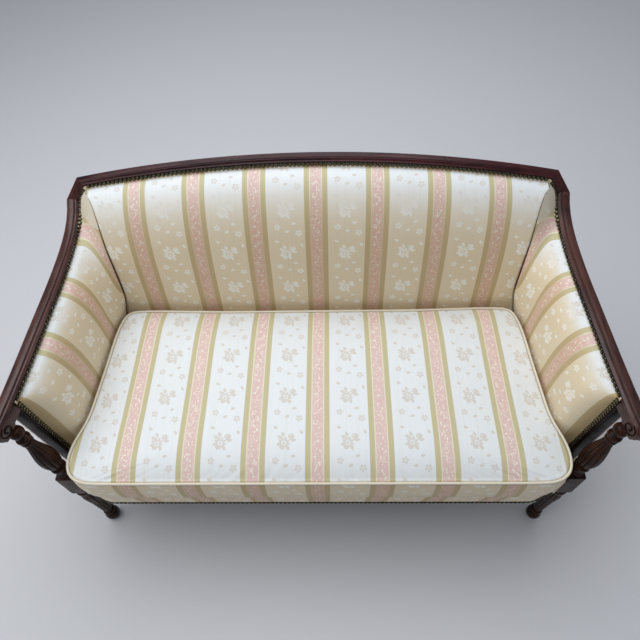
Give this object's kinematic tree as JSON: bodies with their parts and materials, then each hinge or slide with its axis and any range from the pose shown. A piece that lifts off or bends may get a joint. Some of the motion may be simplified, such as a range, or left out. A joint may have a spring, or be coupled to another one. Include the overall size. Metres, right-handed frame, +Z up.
{
  "type": "settee",
  "caption": "Two-seat settee with a moulded mahogany frame, turned and reeded front legs and arm supports, striped damask upholstery and a loose seat cushion.",
  "frame": {"origin": "centre of the bounding box's base, on the floor", "axes": "+Z up, the sitter faces -Y, +X to the right seen from the front"},
  "size_m": [1.3598, 0.6902, 0.834],
  "materials": {
    "mahogany": "dark polished mahogany",
    "frame_wood": "unfinished hardwood, hidden",
    "damask": "striped satin damask, ivory, gold and rose",
    "welt_cord": "cream covered cord",
    "jute": "burlap",
    "cambric": "black dust cloth",
    "spring_steel": "bare spring wire",
    "antique_brass": "antique brass decorative nails"
  },
  "bodies": {
    "frame": {"crest_rail": "mahogany", "corner_block_left": "mahogany", "corner_block_right": "mahogany", "arm_rail_left": "mahogany", "arm_rail_right": "mahogany", "arm_upright_left": "mahogany", "arm_upright_right": "mahogany", "baluster_left": "mahogany", "baluster_right": "mahogany", "front_leg_left": "mahogany", "front_leg_right": "mahogany", "back_leg_left": "mahogany", "back_leg_right": "mahogany", "front_seat_rail": "frame_wood", "back_seat_rail": "frame_wood", "side_seat_rail_left": "frame_wood", "side_seat_rail_right": "frame_wood", "seat_strut": "frame_wood", "corner_brace_front_left": "frame_wood", "corner_brace_front_right": "frame_wood", "corner_brace_back_left": "frame_wood", "corner_brace_back_right": "frame_wood", "back_bottom_rail": "frame_wood", "back_centre_stile": "frame_wood", "arm_tack_rail_left": "frame_wood", "arm_tack_rail_right": "frame_wood", "inside_back": "damask", "inside_arm_left": "damask", "inside_arm_right": "damask", "outside_back": "damask", "outside_arm_left": "damask", "outside_arm_right": "damask", "front_rail_cover": "damask", "seat_deck": "damask", "back_webbing": "jute", "spring_burlap": "jute", "seat_spring_1": "spring_steel", "seat_spring_2": "spring_steel", "seat_spring_3": "spring_steel", "seat_spring_4": "spring_steel", "seat_spring_5": "spring_steel", "dust_cover": "cambric"},
    "cushion": {"seat_cushion": "damask", "cushion_welt": "welt_cord"}
  },
  "joints": [
    {"name": "cushion_lift", "type": "slide", "parent": "frame", "child": "cushion", "axis": [0, 0, 1], "range_m": [0, 0.5]}
  ]
}
